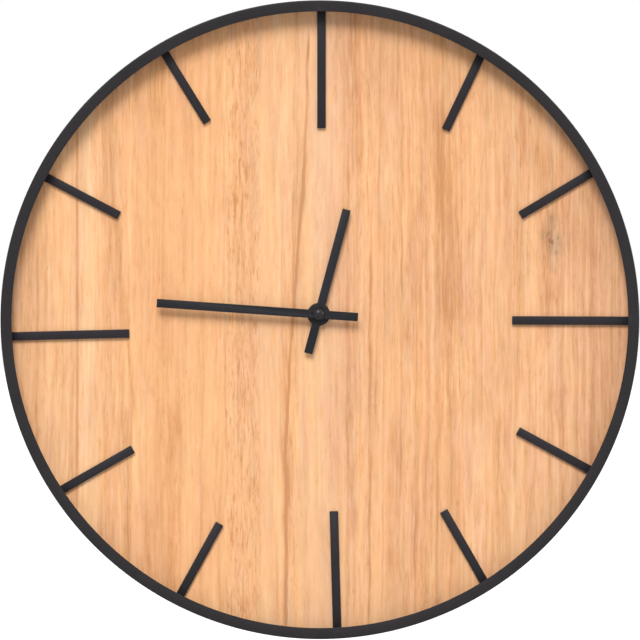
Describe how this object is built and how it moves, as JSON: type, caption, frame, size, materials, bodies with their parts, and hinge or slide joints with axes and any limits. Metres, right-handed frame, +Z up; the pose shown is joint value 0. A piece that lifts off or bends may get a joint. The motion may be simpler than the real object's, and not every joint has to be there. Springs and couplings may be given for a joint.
{
  "type": "wall clock",
  "caption": "Round wall clock with a rolled steel rim, wood dial, flat hour bars, bar hands and a battery movement, hung from a keyhole plate.",
  "frame": {"origin": "centre of the keyhole slot's round top end, in the plane of the wall: where the hanging screw's axis meets the wall", "axes": "+Y into the wall, so the dial faces -Y; +X to the right of a person who reads the clock; +Z up"},
  "size_m": [0.6, 0.042, 0.6],
  "materials": {
    "rim_paint": "matt charcoal paint on rolled steel",
    "bar_paint": "matt charcoal paint on flat steel",
    "hand_paint": "matt charcoal paint on sheet aluminium",
    "dial_wood": "light orange pine veneer, satin",
    "fibreboard": "raw fibreboard",
    "zinc_steel": "zinc plated",
    "spring_steel": "nickel plated",
    "soft_iron": "satin",
    "rubber": "soft black rubber",
    "case_plastic": "fine moulded texture",
    "gear_plastic": "moulded acetal",
    "chip_resin": "cast resin",
    "circuit_laminate": "solder resist",
    "brass": "turned",
    "copper_wire": "enamelled winding wire",
    "magnet": "sintered magnet",
    "battery_wrap": "plain gloss sleeve on steel"
  },
  "bodies": {
    "frame": {"rim": "rim_paint", "dial_board": "fibreboard", "dial_veneer": "dial_wood", "hour_bar_01": "bar_paint", "hour_bar_02": "bar_paint", "hour_bar_03": "bar_paint", "hour_bar_04": "bar_paint", "hour_bar_05": "bar_paint", "hour_bar_06": "bar_paint", "hour_bar_07": "bar_paint", "hour_bar_08": "bar_paint", "hour_bar_09": "bar_paint", "hour_bar_10": "bar_paint", "hour_bar_11": "bar_paint", "hour_bar_12": "bar_paint", "rim_bracket_1": "rim_paint", "rim_bracket_2": "rim_paint", "rim_bracket_3": "rim_paint", "rim_bracket_4": "rim_paint", "bracket_screw_1": "zinc_steel", "bracket_screw_2": "zinc_steel", "bracket_screw_3": "zinc_steel", "bracket_screw_4": "zinc_steel", "hanger_plate": "rim_paint", "bumper_tab_left": "rim_paint", "bumper_tab_right": "rim_paint", "wall_bumper_left": "rubber", "wall_bumper_right": "rubber", "movement_case": "case_plastic", "movement_cover": "case_plastic", "shaft_bushing": "brass", "rubber_washer": "rubber", "flat_washer": "brass", "shaft_nut": "brass", "battery": "battery_wrap", "battery_contact_plus": "spring_steel", "battery_contact_minus": "spring_steel", "circuit_board": "circuit_laminate", "clock_chip": "chip_resin", "quartz_can": "spring_steel", "stator_plate": "soft_iron", "coil_core": "soft_iron", "coil_winding": "copper_wire"},
    "minute": {"centre_wheel": "gear_plastic", "minute_hand": "hand_paint", "hand_cap": "hand_paint"},
    "hour": {"hour_wheel": "gear_plastic", "hour_hand": "hand_paint"},
    "motion": {"minute_wheel": "gear_plastic"},
    "setting": {"setting_knob": "gear_plastic"},
    "third": {"third_wheel": "gear_plastic"},
    "fourth": {"fourth_wheel": "gear_plastic"},
    "fifth": {"fifth_wheel": "gear_plastic"},
    "motor": {"rotor": "magnet"}
  },
  "joints": [
    {"name": "minute_turn", "type": "hinge", "parent": "frame", "child": "minute", "pos_m": [-0.0011, -0.01, -0.284], "axis": [0, 1, 0], "continuous": true},
    {"name": "hour_turn", "type": "hinge", "parent": "frame", "child": "hour", "pos_m": [-0.0011, -0.01, -0.284], "axis": [0, 1, 0], "continuous": true},
    {"name": "motion_turn", "type": "hinge", "parent": "frame", "child": "motion", "pos_m": [-0.0095, -0.01, -0.284], "axis": [0, 1, 0], "continuous": true},
    {"name": "knob_turn", "type": "hinge", "parent": "frame", "child": "setting", "pos_m": [-0.0179, -0.01, -0.284], "axis": [0, 1, 0], "continuous": true},
    {"name": "third_turn", "type": "hinge", "parent": "frame", "child": "third", "pos_m": [0.00905, -0.01, -0.28031], "axis": [0, 1, 0], "continuous": true},
    {"name": "fourth_turn", "type": "hinge", "parent": "frame", "child": "fourth", "pos_m": [0.00556, -0.01, -0.27072], "axis": [0, 1, 0], "continuous": true},
    {"name": "fifth_turn", "type": "hinge", "parent": "frame", "child": "fifth", "pos_m": [-0.00255, -0.01, -0.26855], "axis": [0, 1, 0], "continuous": true},
    {"name": "rotor_turn", "type": "hinge", "parent": "frame", "child": "motor", "pos_m": [-0.00953, -0.01, -0.26794], "axis": [0, 1, 0], "continuous": true}
  ],
  "couplings": [
    {"joint": "hour_turn", "follows": "minute_turn", "ratio": 0.083333},
    {"joint": "motion_turn", "follows": "minute_turn", "ratio": -0.33333},
    {"joint": "knob_turn", "follows": "minute_turn", "ratio": 1},
    {"joint": "third_turn", "follows": "minute_turn", "ratio": -8},
    {"joint": "fourth_turn", "follows": "minute_turn", "ratio": 60},
    {"joint": "fifth_turn", "follows": "minute_turn", "ratio": -300},
    {"joint": "rotor_turn", "follows": "minute_turn", "ratio": 1800}
  ]
}
